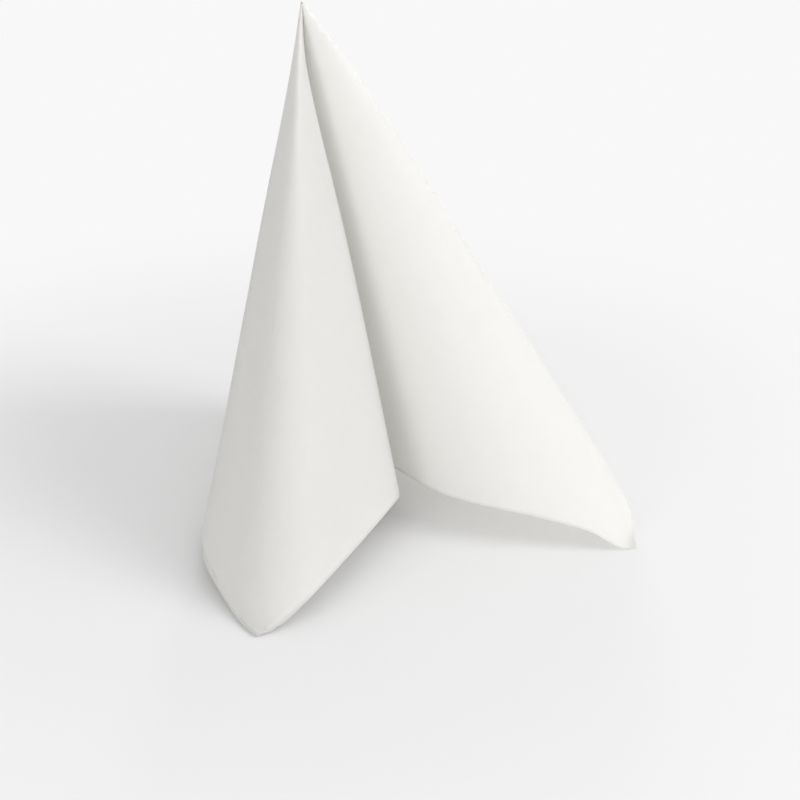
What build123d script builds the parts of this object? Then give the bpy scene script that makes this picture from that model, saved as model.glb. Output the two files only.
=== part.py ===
"""Paper napkin: a square sheet folded in quarters, opened at one pocket and stood up as a peak.

The closed corner of the fold is the apex. Every bend of the paper runs straight from the apex to the ground,
so each wall is flat and each bend is part of a cone. The left lobe is three plies thick, the right lobe is one
ply, and the crease between them is pushed in as a deep valley. Between its toe and the back seam the free
edge of each lobe lifts off the ground in a low arch.

Millimetres, Z up. The front of the napkin faces -Y.
"""

import os
from math import cos, radians, sin, sqrt

from build123d import *

# Sheet
sheet_side = 400.0
ply = 0.6
left_plies = 3
right_plies = 1
edge_step = 1.5

# Back seam and front crease: where their foot lies on the ground, from the point below the apex
seam_reach = 12.0
crease_reach = 27.4
crease_angle = 3.3
crease_width = 2.4

# Left lobe: where the walls on both sides of a bend meet, as a reach on the ground and an angle from -Y, and the
# radius of the bend there. At the toe the walls meet a little beyond the corner of the sheet.
left_mouth_reach = 130.0
left_mouth_angle = 0.3
left_mouth_radius = 20.0
left_toe_overrun = 9.0
left_toe_angle = -22.6
left_toe_radius = 27.0
left_side_reach = 155.8
left_side_angle = -38.4
left_side_radius = 36.0

# Right lobe, in the same way
right_mouth_reach = 178.0
right_mouth_angle = 6.8
right_mouth_radius = 50.0
right_toe_overrun = 10.5
right_toe_angle = 34.1
right_toe_radius = 30.0
right_side_reach = 145.7
right_side_angle = 38.7
right_side_radius = 40.0

# Arch of the free edges: which way the toe points, how far the toe and the seam lie on the ground, and how high
# the edge lifts in front of the line between them and behind it
left_tip_angle = -22.6
left_toe_flat = 25.0
left_front_rise = 14.0
left_back_rise = 6.0
right_tip_angle = 30.5
right_toe_flat = 10.0
right_front_rise = 17.0
right_back_rise = 7.0
seam_flat = 5.0

# Paper pressed together below the apex, with no room between the plies
left_closed_tip = 10.0
right_closed_tip = 6.0

# The fold fixes the height of the apex and the reach of the toes: the seam is one side of a quarter of the
# sheet, and a toe is the far corner of that quarter.
quarter_side = sheet_side / 2
apex_height = sqrt(quarter_side**2 - seam_reach**2)
toe_reach = sqrt(quarter_side**2 + seam_reach**2)


def on_ground(reach, angle):
    """Point on the ground at a distance from the foot of the apex, turned from -Y towards +X."""
    return Vector(reach * sin(radians(angle)), -reach * cos(radians(angle)))


def below_apex(depth, ground_point):
    """Point that lies a depth below the apex, on the ray from the apex to a point on the ground."""
    share = depth / apex_height
    return Vector(ground_point.X * share, ground_point.Y * share, apex_height - depth)


def to_ground(top, point):
    """Where the ray from a top through a point meets the ground."""
    return top + (point - top) * (top.Z / (top.Z - point.Z))


def pyramid(corners, top):
    """Flat-sided solid from an outline on the ground up to a point."""
    return Solid.make_loft([Wire.make_polygon(corners), Vertex(top)], ruled=True)


def inset(corners, distance):
    """Corners of a clockwise outline, moved in by the same distance from every side."""
    moved = []
    for before, corner, after in zip(corners[-1:] + corners[:-1], corners, corners[1:] + corners[:1]):
        arriving = (corner - before).normalized()
        leaving = (after - corner).normalized()
        normals = Vector(arriving.Y + leaving.Y, -arriving.X - leaving.X)
        moved.append(corner + normals * (distance / (1 + arriving.dot(leaving))))
    return moved


def bend(before, corner, after, radius, top):
    """Bend along a corner of a pyramid: the two lines on the ground where it leaves the walls, and its solid.

    A cone with its point at the top touches both walls. The bend is what lies outside the flat between the two
    lines of touch.
    """
    first_wall = (corner - before).cross(top - corner).normalized()
    second_wall = (after - corner).cross(top - corner).normalized()
    inward = (first_wall + second_wall).normalized()
    centre = corner + inward * (radius / inward.dot(first_wall))
    start = to_ground(top, centre - first_wall * radius)
    end = to_ground(top, centre - second_wall * radius)

    axis = centre - top
    spread = radius / sqrt(axis.length**2 - radius**2)
    height = 2 * axis.length
    cone = Solid.make_cone(spread * height, 0, height, Plane(origin=top + axis * 2, z_dir=-axis))
    margin = (end - start) / 2
    outside = (corner - (start + end) / 2) * 2
    beyond = pyramid([start - margin, start - margin + outside, end + margin + outside, end + margin], top)
    return start, end, cone & beyond


def rounded_pyramid(bends, ends, distance, top):
    """Pyramid over an outline that is inset by a distance: rounded at its bends, sharp at its ends."""
    corners = inset([point for point, radius in bends] + ends, distance)
    flat_corners = []
    with BuildPart(mode=Mode.PRIVATE) as solid:
        for index, (point, radius) in enumerate(bends):
            start, end, rounding = bend(*[corners[index + step] for step in (-1, 0, 1)], radius - distance, top)
            flat_corners += [start, end]
            add(rounding)
        add(pyramid(flat_corners + corners[len(bends):], top))
    return solid.part


def arch(toe, toe_flat, right_rise, left_rise):
    """Space under the free edges of a lobe, on the right and on the left of the way from its toe to the seam."""
    along = seam - toe
    end = along.length - seam_flat
    to_the_right = Vector(along.Y, -along.X)
    with BuildPart(mode=Mode.PRIVATE) as space:
        for rise, side in ((right_rise, to_the_right), (left_rise, -to_the_right)):
            with BuildSketch(Plane(origin=toe, x_dir=along, z_dir=to_the_right)) as opening:
                with BuildLine():
                    ThreePointArc((toe_flat, 0), ((toe_flat + end) / 2, rise), (end, 0))
                    Line((end, 0), (toe_flat, 0))
                make_face()
            extrude(opening.sketch, amount=toe_reach, dir=side)
    return space.part


def lobe(bends, ends, plies, closed_tip, toe, toe_flat, right_rise, left_rise):
    """One hollow lobe of the peak, with the edges of its plies stepped back from the inside out."""
    middle = (bends[0][0] + bends[-1][0]) / 2
    with BuildPart(mode=Mode.PRIVATE) as paper:
        add(rounded_pyramid(bends, ends, 0, below_apex(0, middle)))
        add(rounded_pyramid(bends, ends, plies * ply, below_apex(closed_tip, middle)), mode=Mode.SUBTRACT)
        add(arch(toe, toe_flat, right_rise, left_rise), mode=Mode.SUBTRACT)
        for outer_plies in range(1, plies):
            lift = (plies - outer_plies) * edge_step
            with BuildPart(mode=Mode.PRIVATE) as trim:
                add(arch(toe, toe_flat, right_rise + lift, left_rise + lift))
                ply_top = below_apex(closed_tip * outer_plies / plies, middle)
                add(rounded_pyramid(bends, ends, outer_plies * ply, ply_top), mode=Mode.SUBTRACT)
            add(trim.part, mode=Mode.SUBTRACT)
    return paper.part


seam = on_ground(seam_reach, 0)
crease = on_ground(crease_reach, crease_angle)
crease_left = crease - Vector(crease_width / 2, 0)
crease_right = crease + Vector(crease_width / 2, 0)

left_bends = [
    (on_ground(left_mouth_reach, left_mouth_angle), left_mouth_radius),
    (on_ground(toe_reach + left_toe_overrun, left_toe_angle), left_toe_radius),
    (on_ground(left_side_reach, left_side_angle), left_side_radius),
]
right_bends = [
    (on_ground(right_side_reach, right_side_angle), right_side_radius),
    (on_ground(toe_reach + right_toe_overrun, right_toe_angle), right_toe_radius),
    (on_ground(right_mouth_reach, right_mouth_angle), right_mouth_radius),
]

left_lobe = lobe(left_bends, [seam, crease_right, crease_left], left_plies, left_closed_tip,
                 on_ground(toe_reach, left_tip_angle), left_toe_flat, left_front_rise, left_back_rise)
right_lobe = lobe(right_bends, [crease_right, seam], right_plies, right_closed_tip,
                  on_ground(toe_reach, right_tip_angle), right_toe_flat, right_back_rise, right_front_rise)

# The pocket runs from one lobe to the other, between the back seam and the crease
way_back = -seam_reach - 2 * left_plies * ply
way_front = crease.Y + left_plies * ply
way_half_width = (crease_reach - seam_reach) / 4

with BuildPart() as napkin:
    add(left_lobe)
    add(right_lobe)
    way = [Vector(0, way_back), Vector(crease.X - way_half_width, way_front),
           Vector(crease.X + way_half_width, way_front)]
    add(pyramid(way, below_apex(apex_height / 3, (seam + crease) / 2)), mode=Mode.SUBTRACT)

# The origin is the middle of the napkin's box, on the ground
box = napkin.part.bounding_box()
placed = napkin.part.moved(Location((-box.center().X, -box.center().Y, -box.min.Z)))
placed.label = "napkin"

os.makedirs("parts", exist_ok=True)
export_step(placed, "parts/napkin.step")
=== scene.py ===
# %% [markdown]
# # A paper napkin folded in quarters and stood up as a peak
#
# The napkin is one square sheet of soft white paper. It was folded twice, so that it lies four plies thick,
# and then it was opened at one pocket and stood up. The middle of the sheet is the apex, and the four
# quarters of the sheet hang from it: one quarter makes the right lobe, and the other three lie in each
# other as the left lobe.
#
# First the frame is loaded. It holds the plain solid of the same napkin, and its box is kept, because the
# lamps are aimed at its middle.

import bpy
import numpy as np
from mathutils import Matrix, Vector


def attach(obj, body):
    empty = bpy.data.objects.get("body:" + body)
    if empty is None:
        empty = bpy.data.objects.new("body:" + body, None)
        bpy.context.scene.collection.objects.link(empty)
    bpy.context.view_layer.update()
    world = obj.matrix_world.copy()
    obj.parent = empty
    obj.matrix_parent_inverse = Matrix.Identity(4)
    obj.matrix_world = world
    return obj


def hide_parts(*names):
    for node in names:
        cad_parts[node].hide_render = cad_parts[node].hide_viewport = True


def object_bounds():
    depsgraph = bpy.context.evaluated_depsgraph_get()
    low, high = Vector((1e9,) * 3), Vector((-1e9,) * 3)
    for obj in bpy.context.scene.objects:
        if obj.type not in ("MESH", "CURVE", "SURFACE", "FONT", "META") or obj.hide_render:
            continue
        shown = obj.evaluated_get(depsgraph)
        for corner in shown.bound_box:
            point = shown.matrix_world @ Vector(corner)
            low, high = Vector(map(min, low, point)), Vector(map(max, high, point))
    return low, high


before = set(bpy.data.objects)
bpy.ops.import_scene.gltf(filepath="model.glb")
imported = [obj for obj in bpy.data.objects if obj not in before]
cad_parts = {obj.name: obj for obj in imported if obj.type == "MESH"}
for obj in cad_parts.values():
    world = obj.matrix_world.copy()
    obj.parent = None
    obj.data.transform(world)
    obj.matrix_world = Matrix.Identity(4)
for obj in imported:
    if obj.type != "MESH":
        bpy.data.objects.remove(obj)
cad_box = [list(corner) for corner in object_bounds()]
print("CAD box in metres:", np.round(cad_box, 4).tolist())

# %% [markdown]
# ## Where the paper bends
#
# Paper doesn't stretch. When a sheet hangs from one point and stands on a table, every bend in it is a
# straight line from that point down to the table, which makes each lobe a cone with rounded corners. A lobe
# could be sculpted or simulated, but a cone is drawn exactly by its outline on the table, so outlines with a
# few corners each give the whole shape. The reaches and angles are nearly those of the solid in the frame.
# The left lobe has two outlines with the same corners: near the apex its plies are still pressed into sharp
# folds, and lower down the same folds have opened into soft bends.

# %% Outlines of the two lobes on the table
quarter_side = 0.200
solid = bpy.data.objects["napkin"].data
solid_points = np.empty(3 * len(solid.vertices))
solid.vertices.foreach_get("co", solid_points)
solid_points = solid_points.reshape(-1, 3)
apex = solid_points[solid_points[:, 2].argmax()]
seam_reach = np.sqrt(quarter_side**2 - apex[2] ** 2)


def on_table(reach, angle):
    """Point on the table at a reach from the apex's foot, turned by degrees from the front towards +X."""
    turn = np.radians(angle)
    return apex[:2] + reach * np.array([np.sin(turn), -np.cos(turn)])


def rounded(corners, radii, steps=60):
    """Line from the first corner to the last, with a tangent arc in place of each corner between them.

    For a corner with directions u and v to its neighbours and the angle a between them, the arc starts at
    radius / tan(a / 2) from the corner, and its centre lies on u + v at radius / sin(a / 2).
    """
    runs = [corners[0]]
    for before, corner, after, radius in zip(corners, corners[1:], corners[2:], radii):
        u = (before - corner) / np.linalg.norm(before - corner)
        v = (after - corner) / np.linalg.norm(after - corner)
        half = np.arccos(u @ v) / 2
        centre = corner + (u + v) / np.linalg.norm(u + v) * radius / np.sin(half)
        start = corner + u * radius / np.tan(half) - centre
        end = corner + v * radius / np.tan(half) - centre
        turn = np.arctan2(start[0] * end[1] - start[1] * end[0], start @ end)
        bearing = np.arctan2(start[1], start[0]) + turn * np.linspace(0, 1, steps)
        arc = centre + radius * np.column_stack([np.cos(bearing), np.sin(bearing)])
        runs += [np.linspace(np.atleast_2d(runs[-1])[-1], arc[0], steps)[1:-1], arc]
    runs.append(np.linspace(runs[-1][-1], corners[-1], steps)[1:])
    return np.vstack(runs)


seam_foot = on_table(seam_reach, 0)
crease_foot = on_table(0.0274, 3.3)
left_mouth = on_table(0.130, 0.3)
left_toe = on_table(0.2078, -22.6)
left_side = on_table(0.1558, -38.4)
right_side = on_table(0.1457, 38.7)
right_toe = on_table(0.2122, 34.1)
right_mouth = on_table(0.1781, 6.8)
left_corners = [crease_foot, left_mouth, left_toe, left_side, seam_foot]
right_corners = [seam_foot, right_side, right_toe, right_mouth, crease_foot]
left_outline = rounded(left_corners, radii=[0.012, 0.018, 0.050])
left_pressed = rounded(left_corners, radii=[0.006, 0.009, 0.008])
right_outline = rounded(right_corners, radii=[0.055, 0.030, 0.059])
print("apex in metres:", np.round(apex, 4).tolist(), "back seam reaches", round(seam_reach, 4))

# %% [markdown]
# ## From outline to paper
#
# The straight lines from the apex through an outline are only half of the story: the paper's edge isn't the
# outline, it is the edge of a square sheet. So each lobe is unrolled. The angle between neighbouring lines
# adds up to a right angle, one quarter of the sheet, and the length of each line is the distance from the
# middle of a square to its edge in that direction. The corner of the sheet lands at the toe, and the edge
# rises between the toe and the seam, as it does on the real napkin.

# %% Unroll each lobe into a quarter of the sheet
columns = 88


def unroll(outline):
    """Unit directions from the apex to an outline, at equal steps of the paper's angle, and that angle."""
    ray = np.column_stack([outline, np.zeros(len(outline))]) - apex
    ray /= np.linalg.norm(ray, axis=1, keepdims=True)
    step = np.arccos(np.clip((ray[1:] * ray[:-1]).sum(axis=1), -1, 1))
    along = np.concatenate([[0], np.cumsum(step)])
    even = np.linspace(0, along[-1], columns + 1)
    ray = np.column_stack([np.interp(even, along, ray[:, axis]) for axis in range(3)])
    return ray / np.linalg.norm(ray, axis=1, keepdims=True), np.degrees(along[-1])


def outward(ray):
    """Unit normals of the cone: the cross product of its lines and their change, turned outwards."""
    normal = np.cross(ray, np.gradient(ray, axis=0))
    normal /= np.linalg.norm(normal, axis=1, keepdims=True)
    return normal * np.sign((normal * (ray - ray.mean(axis=0))).sum())


left_ray, left_angle = unroll(left_outline)
pressed_ray = unroll(left_pressed)[0]
right_ray, right_angle = unroll(right_outline)
left_normal = outward(left_ray)
right_normal = outward(right_ray)
print("paper round the apex, in degrees: left", round(left_angle, 1), "right", round(right_angle, 1))

# %% [markdown]
# ## One sheet, four quarters
#
# The four quarters are laid one after another round the apex: right lobe, inner left, middle left, outer
# left. Each fold is a shared column of points, so the sheet stays in one piece. In the left lobe the three
# plies are spaced by a little more than their thickness. Soft paper never folds quite square, so behind the
# left toe the edges of the plies are stepped, and the outer ones stand off a little.

# %% Lines, normals and plies round the apex
rows = 110
ply_gap = 0.0007
paper_thickness = 0.00045
quarter_depth = np.array([0, 2, 1, 0])
quarter_trim = np.array([0, 0, 0.0018, 0.0045])
quarter_flare = np.array([0, 0, 0.0004, 0.0012])
trim_turn = 0.98
trim_width = 0.22


def round_the_apex(right, left):
    """Values of the right lobe and the left lobe in the order of the four quarters, one for each column."""
    return np.concatenate([right[:-1], left[:-1], left[:0:-1], left[:-1]])


soft_ray = round_the_apex(right_ray, left_ray)
sharp_ray = round_the_apex(right_ray, pressed_ray)
normal = round_the_apex(right_normal, left_normal)
lobe_turn = round_the_apex(*[np.linspace(0, np.pi / 2, columns + 1)] * 2)
quarter = np.repeat(np.arange(4), columns)
turn = np.linspace(0, 2 * np.pi, 4 * columns, endpoint=False)
in_quarter = np.mod(turn, np.pi / 2)
edge = quarter_side / np.maximum(np.cos(in_quarter), np.sin(in_quarter))
is_left = quarter > 0

depth_in = quarter_depth[quarter] * ply_gap
depth_in = 0.25 * np.roll(depth_in, 1) + 0.5 * depth_in + 0.25 * np.roll(depth_in, -1)
behind_toe = np.exp(-(((lobe_turn - trim_turn) / trim_width) ** 2))
edge = edge - quarter_trim[quarter] * behind_toe
flare = quarter_flare[quarter] * behind_toe
print("columns round the apex:", len(normal), "rows from apex to edge:", rows)

# %% [markdown]
# ## From sharp folds to soft bends
#
# Every point lies on a line from the apex, at an equal share of the way to the edge. Near the apex the
# line is the one of the pressed outline, and further out it passes over to the one of the soft outline.

# %% Points of the sheet
soft_length = 0.14
fold_fade = 0.30


def smooth(share):
    """Smooth step from 0 to 1: 3 x^2 - 2 x^3, flat outside that range."""
    share = np.clip(share, 0, 1)
    return share * share * (3 - 2 * share)


share = np.linspace(0, 1, rows + 1)[:, None]
length = share * edge
ray = sharp_ray + smooth(length / soft_length)[..., None] * (soft_ray - sharp_ray)
points = apex + length[..., None] * ray / np.linalg.norm(ray, axis=-1, keepdims=True)
drop = apex[2] - points[..., 2]
away_from_folds = smooth(in_quarter / fold_fade) * smooth((np.pi / 2 - in_quarter) / fold_fade)
print("longest line from the apex, in metres:", round(length.max(), 4))

# %% [markdown]
# ## Letting the lobes breathe
#
# A perfect cone looks like folded card. In the real napkin the three plies on the left are still pressed
# together near the apex and open only lower down, while the single ply on the right springs open at once.
# Each is a small change of width with height, which fades out at the folds so that the lobes stay joined.

# %% Width of the lobes
lobe_squeeze = 0.30
lobe_squeeze_drop = 0.055
mouth_squeeze = 1.00
mouth_squeeze_drop = 0.025
most_squeeze = 0.85
right_spring = 0.36
right_spring_drop = 0.043


def widen(points, change, foot):
    """Move points level from or towards the line from the apex to a foot, by a change of their distance."""
    line = apex[:2] + (drop / apex[2])[..., None] * (foot - apex[:2])
    points[..., :2] += change[..., None] * (points[..., :2] - line)


left_middle = (left_mouth + left_side) / 2
mouth_side = 1 - smooth((lobe_turn - 0.50) / 0.40)
closing = lobe_squeeze * np.exp(-((drop / lobe_squeeze_drop) ** 2))
closing = closing + mouth_squeeze * mouth_side * np.exp(-drop / mouth_squeeze_drop)
closing = -np.minimum(closing, most_squeeze) * away_from_folds * is_left
toe_side = 1 - smooth((lobe_turn - 0.75) / 0.25)
opening = right_spring * toe_side * np.exp(-drop / right_spring_drop) * away_from_folds * ~is_left
widen(points, closing, left_middle)
widen(points, opening, crease_foot)
print("largest change of width: left", round(closing.min(), 2), "right", round(opening.max(), 2))

# %% [markdown]
# ## The free edges
#
# Long low waves loosen the free edge, the corner at the right toe turns a little to the front, and the paper
# that would reach below the table lies down on it.

# %% Waves, the right corner and the table
long_wave = 0.0006
short_wave = 0.0004
right_corner_place = on_table(0.1955, 26.2)
right_corner_width = 0.065
right_corner_height = 0.030
softness = 0.0008

waves = long_wave * np.sin(5 * turn + 0.7) + short_wave * np.sin(13 * turn + 2.1)
inward = depth_in * smooth(share / 0.15) - waves * share**3 * away_from_folds - flare * share**8
points -= inward[..., None] * normal

lead = right_corner_place - points[-1, columns // 2, :2]
near_corner = np.exp(-(((in_quarter - np.pi / 4) / right_corner_width) ** 2)) * ~is_left
near_corner = near_corner * (1 - smooth(points[..., 2] / right_corner_height))
points[..., :2] += near_corner[..., None] * lead
print("right corner moved by, in metres:", np.round(lead, 4).tolist())

table = paper_thickness / 2 + depth_in
above = points[..., 2] - table
points[..., 2] = table + (above + np.sqrt(above**2 + softness**2)) / 2
heights = [points[..., 2].min(), points[..., 2].max()]
print("lowest and highest point in metres:", np.round(heights, 5).tolist())

# %% [markdown]
# ## The mesh
#
# The grid goes round and closes on itself, and its first row is a single point, the middle of the sheet. The
# flat position of every point on the unfolded sheet becomes its UV, so a pattern in the paper runs over the
# folds as it would on the real thing. A Solidify modifier then gives the sheet its thickness.

# %% Build the sheet
last = 4 * columns
ring = 1 + np.arange(rows * last).reshape(rows, last)
beside = np.roll(ring, -1, axis=1)
tip = np.column_stack([np.zeros(last, int), ring[0], beside[0]])
cells = np.stack([ring[:-1], ring[1:], beside[1:], beside[:-1]], axis=-1).reshape(-1, 4)
vertices = np.vstack([apex[None], points[1:].reshape(-1, 3)])
flat = length[..., None] * np.stack([np.cos(turn), np.sin(turn)], axis=-1)
flat = np.vstack([np.zeros((1, 2)), flat[1:].reshape(-1, 2)])
crisp_angle = 50

sheet_mesh = bpy.data.meshes.new("napkin_sheet")
sheet_mesh.from_pydata(vertices.tolist(), [], tip.tolist() + cells.tolist())
unfolded = sheet_mesh.uv_layers.new(name="unfolded")
corner = np.empty(len(sheet_mesh.loops), int)
sheet_mesh.loops.foreach_get("vertex_index", corner)
unfolded.data.foreach_set("uv", (flat[corner] / (2 * quarter_side) + 0.5).ravel())
sheet_mesh.polygons.foreach_set("use_smooth", np.ones(len(sheet_mesh.polygons), bool))
sheet_mesh.set_sharp_from_angle(angle=np.radians(crisp_angle))

napkin_sheet = bpy.data.objects.new("napkin_sheet", sheet_mesh)
bpy.context.collection.objects.link(napkin_sheet)
thickness = napkin_sheet.modifiers.new("paper_thickness", "SOLIDIFY")
thickness.thickness = paper_thickness
thickness.offset = 0
thickness.use_even_offset = False
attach(napkin_sheet, "root")
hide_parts("napkin")
print("sheet:", len(sheet_mesh.vertices), "points,", len(sheet_mesh.polygons), "faces")

# %% [markdown]
# ## The paper
#
# Soft napkin paper is a felt of short white fibres, laid dry and pressed lightly. Close up it shows cloudy
# thick and thin places a few millimetres across, and a fine fuzz of fibres in all directions. An image could
# carry that, but noise on the unfolded sheet gives it at any size: one slow noise for the clouds and one
# stretched noise in each direction for the fibres.

# %% Noise on the unfolded sheet
paper = bpy.data.materials.new("paper")
paper.use_nodes = True
nodes = paper.node_tree.nodes
links = paper.node_tree.links


def node(kind, **settings):
    """New node of the material in hand, with its settings and the plain values of its sockets."""
    made = nodes.new(kind)
    for name, value in settings.items():
        if name in made.inputs:
            made.inputs[name].default_value = value
        else:
            setattr(made, name, value)
    return made


def noise(scale, detail, stretch, bearing):
    """Noise on the unfolded sheet: patches per sheet side, stretched along a bearing in degrees."""
    place = node("ShaderNodeMapping", Scale=(stretch, 1, 1), Rotation=(0, 0, np.radians(bearing)))
    field = node("ShaderNodeTexNoise", Scale=scale, Detail=detail, Roughness=0.55)
    links.new(unfolded_place.outputs["UV"], place.inputs["Vector"])
    links.new(place.outputs["Vector"], field.inputs["Vector"])
    return field.outputs["Fac"]


unfolded_place = node("ShaderNodeUVMap", uv_map="unfolded")
clouds = noise(scale=60, detail=3, stretch=1, bearing=0)
fibres_along = noise(scale=520, detail=2, stretch=0.25, bearing=25)
fibres_across = noise(scale=520, detail=2, stretch=0.25, bearing=115)
print("noise nodes of the paper:", [item.name for item in nodes if item.type == "TEX_NOISE"])

# %% [markdown]
# ## Colour, dullness and bump of the paper
#
# The clouds change the white a little, the fibres change the dullness, and both feed the bump. A thin sheet
# also lets light through, so more than half of the shader is translucent.

# %% Shader of the paper
shader = nodes["Principled BSDF"]
shader.inputs["Sheen Weight"].default_value = 0.25
shader.inputs["Sheen Roughness"].default_value = 0.6
shader.inputs["Specular IOR Level"].default_value = 0.2

tint = node("ShaderNodeValToRGB")
tint.color_ramp.elements[0].position = 0.30
tint.color_ramp.elements[0].color = (0.945, 0.944, 0.942, 1)
tint.color_ramp.elements[1].position = 0.70
tint.color_ramp.elements[1].color = (0.965, 0.964, 0.962, 1)
links.new(clouds, tint.inputs["Fac"])
links.new(tint.outputs["Color"], shader.inputs["Base Color"])

fibres = node("ShaderNodeMath", operation="ADD")
links.new(fibres_along, fibres.inputs[0])
links.new(fibres_across, fibres.inputs[1])
dullness = node("ShaderNodeMapRange")
dullness.inputs["To Min"].default_value = 0.82
dullness.inputs["To Max"].default_value = 0.98
links.new(fibres_along, dullness.inputs["Value"])
links.new(dullness.outputs["Result"], shader.inputs["Roughness"])
fuzz = node("ShaderNodeBump", Strength=0.35, Distance=0.0002)
puff = node("ShaderNodeBump", Strength=0.35, Distance=0.0006)
links.new(fibres.outputs["Value"], fuzz.inputs["Height"])
links.new(clouds, puff.inputs["Height"])
links.new(puff.outputs["Normal"], fuzz.inputs["Normal"])
links.new(fuzz.outputs["Normal"], shader.inputs["Normal"])

through = node("ShaderNodeBsdfTranslucent", Color=(0.970, 0.963, 0.944, 1))
links.new(fuzz.outputs["Normal"], through.inputs["Normal"])
thin = node("ShaderNodeMixShader", Fac=0.6)
links.new(shader.outputs["BSDF"], thin.inputs[1])
links.new(through.outputs["BSDF"], thin.inputs[2])
links.new(thin.outputs["Shader"], nodes["Material Output"].inputs["Surface"])
sheet_mesh.materials.append(paper)
print("paper has", len(nodes), "nodes")

# %% [markdown]
# ## Table
#
# White on white is read from its soft shades alone. The table is white too. Near the napkin it is ordinary
# matte white that takes the shadow, and further out it fades into an even glow, so that no edge of the table
# shows. Only the camera, a mirror or glass would see the glow, so it adds no light of its own.

# %% Table
table_size = 6.0
white = (0.94, 0.94, 0.94, 1)
table_corners = table_size * np.array([[-1, -1, 0], [1, -1, 0], [1, 1, 0], [-1, 1, 0]])
table_mesh = bpy.data.meshes.new("table_top")
table_mesh.from_pydata(table_corners.tolist(), [], [(0, 1, 2, 3)])
table_top = bpy.data.objects.new("table_top", table_mesh)
bpy.context.collection.objects.link(table_top)

white_table = bpy.data.materials.new("white_table")
white_table.use_nodes = True
nodes = white_table.node_tree.nodes
links = white_table.node_tree.links
matte = nodes["Principled BSDF"]
matte.inputs["Base Color"].default_value = (0.80, 0.80, 0.80, 1)
matte.inputs["Roughness"].default_value = 0.9
glow = node("ShaderNodeEmission", Color=white)
place = node("ShaderNodeTexCoord")
distance = node("ShaderNodeVectorMath", operation="LENGTH")
fade = node("ShaderNodeMapRange", interpolation_type="SMOOTHSTEP")
fade.inputs["From Min"].default_value = 0.13
fade.inputs["From Max"].default_value = 0.38


def seen_directly():
    """1 for rays from the camera, from a mirror or through glass, and 0 for rays that spread light.

    The sum of the first three, less the rays that paper and other matte surfaces scatter, clamped.
    """
    path = node("ShaderNodeLightPath")
    from_camera_or_mirror = node("ShaderNodeMath", operation="ADD")
    from_any = node("ShaderNodeMath", operation="ADD")
    seen = node("ShaderNodeMath", operation="SUBTRACT", use_clamp=True)
    links.new(path.outputs["Is Camera Ray"], from_camera_or_mirror.inputs[0])
    links.new(path.outputs["Is Glossy Ray"], from_camera_or_mirror.inputs[1])
    links.new(from_camera_or_mirror.outputs["Value"], from_any.inputs[0])
    links.new(path.outputs["Is Transmission Ray"], from_any.inputs[1])
    links.new(from_any.outputs["Value"], seen.inputs[0])
    links.new(path.outputs["Is Diffuse Ray"], seen.inputs[1])
    return seen.outputs["Value"]


share_of_glow = node("ShaderNodeMath", operation="MULTIPLY")
mix = node("ShaderNodeMixShader")
links.new(place.outputs["Object"], distance.inputs[0])
links.new(distance.outputs["Value"], fade.inputs["Value"])
links.new(fade.outputs["Result"], share_of_glow.inputs[0])
links.new(seen_directly(), share_of_glow.inputs[1])
links.new(share_of_glow.outputs["Value"], mix.inputs["Fac"])
links.new(matte.outputs["BSDF"], mix.inputs[1])
links.new(glow.outputs["Emission"], mix.inputs[2])
links.new(mix.outputs["Shader"], nodes["Material Output"].inputs["Surface"])
table_mesh.materials.append(white_table)
print("table reaches", table_size, "m from the middle")

# %% [markdown]
# ## Lamps
#
# One lamp alone would leave the deep valley between the lobes black. The key lamp stands far to the right
# and lights the front of the left lobe. Two weak lamps, on the left and at the front, lighten what it leaves
# in shade, and a low lamp behind the napkin shines through the single ply of the right lobe into the valley,
# where no lamp at the front can reach. The left side stays in the shade that shows the fold.

# %% Lamps
middle = np.mean(cad_box, axis=0)


def lamp(name, place, size, power):
    """Square lamp at a place: its -Z axis points along the line from there to the middle of the napkin."""
    light = bpy.data.lights.new(name, "AREA")
    light.size = size
    light.energy = power
    made = bpy.data.objects.new(name, light)
    bpy.context.collection.objects.link(made)
    made.location = place
    made.visible_camera = False
    back = np.array(place) - middle
    back /= np.linalg.norm(back)
    side = np.cross([0, 0, 1], back)
    side /= np.linalg.norm(side)
    turned = np.column_stack([side, np.cross(back, side), back])
    made.rotation_euler = Matrix(turned.tolist()).to_euler()


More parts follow.
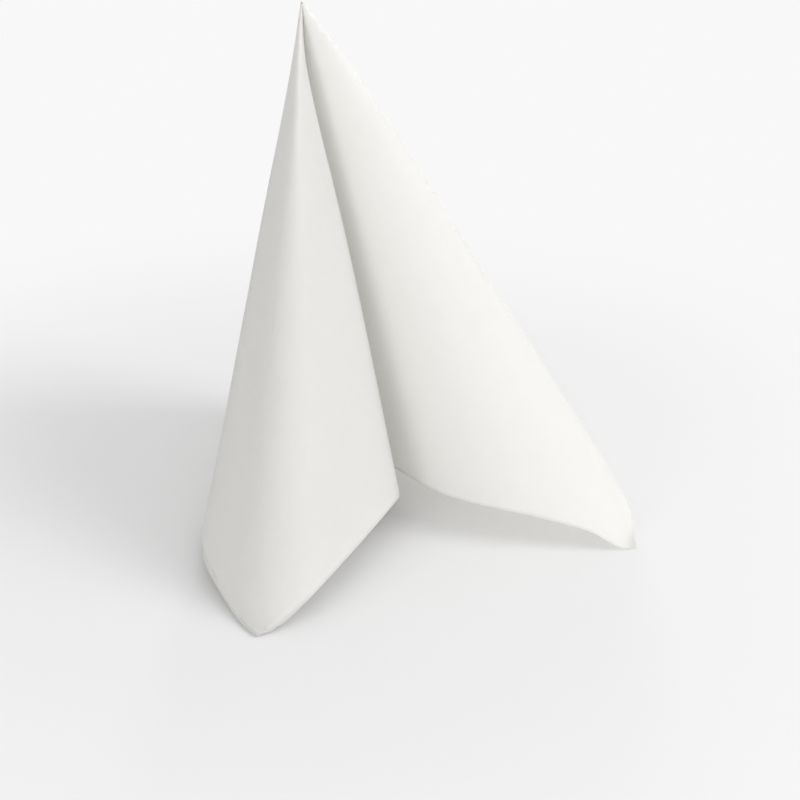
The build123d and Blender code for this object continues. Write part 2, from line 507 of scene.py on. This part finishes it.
lamp("key_lamp", place=(1.30, -0.90, 0.95), size=1.0, power=16)
lamp("left_lamp", place=(-1.40, -0.55, 0.50), size=0.8, power=3.2)
lamp("front_lamp", place=(-0.35, -1.45, 0.40), size=0.6, power=2.5)
lamp("back_lamp", place=(0.60, 1.25, 0.18), size=0.3, power=6)
print("lamps:", [item.name for item in bpy.data.lights])

# %% [markdown]
# ## Sky
#
# An even white sky fills the rest. It could have one strength for all, but then it would either light the
# paper too much or look grey behind the table, so what sees it directly gets the white of the table's glow.

# %% Sky
sky_fill = 0.745
sky = bpy.data.worlds.new("white_sky")
bpy.context.scene.world = sky
sky.use_nodes = True
nodes = sky.node_tree.nodes
links = sky.node_tree.links
sky_light = nodes["Background"]
sky_light.inputs["Color"].default_value = (1, 1, 1, 1)
sky_strength = node("ShaderNodeMapRange")
sky_strength.inputs["To Min"].default_value = sky_fill
sky_strength.inputs["To Max"].default_value = white[0]
links.new(seen_directly(), sky_strength.inputs["Value"])
links.new(sky_strength.outputs["Result"], sky_light.inputs["Strength"])
print("strength of the sky on the paper:", sky_fill)

# %% [markdown]
# ## Camera
#
# The camera looks down at the napkin from the front left, close enough to show some perspective. Its place
# is measured from the apex, so that the napkin keeps its place in the picture.

# %% Camera and colours
azimuth, elevation, roll = np.radians([23.48, 26.98, 1.28])
camera_from_apex = np.array([-0.2143, -0.6120, 0.1335])
ahead = np.array([np.sin(azimuth), np.cos(azimuth), 0])
forward = np.cos(elevation) * ahead - np.sin(elevation) * np.array([0, 0, 1])
level = np.array([np.cos(azimuth), -np.sin(azimuth), 0])
upright = np.cross(level, forward)
right = np.cos(roll) * level + np.sin(roll) * upright
up = -np.sin(roll) * level + np.cos(roll) * upright
camera_lens = bpy.data.cameras.new("camera")
camera_lens.sensor_width = 36
camera_lens.lens = 65.14
camera = bpy.data.objects.new("camera", camera_lens)
bpy.context.collection.objects.link(camera)
camera.location = apex + camera_from_apex
camera.rotation_euler = Matrix(np.column_stack([right, up, -forward]).tolist()).to_euler()
bpy.context.scene.camera = camera
bpy.context.scene.view_settings.view_transform = "Standard"
print("camera turned by, in degrees:", np.round(np.degrees(camera.rotation_euler), 2).tolist())
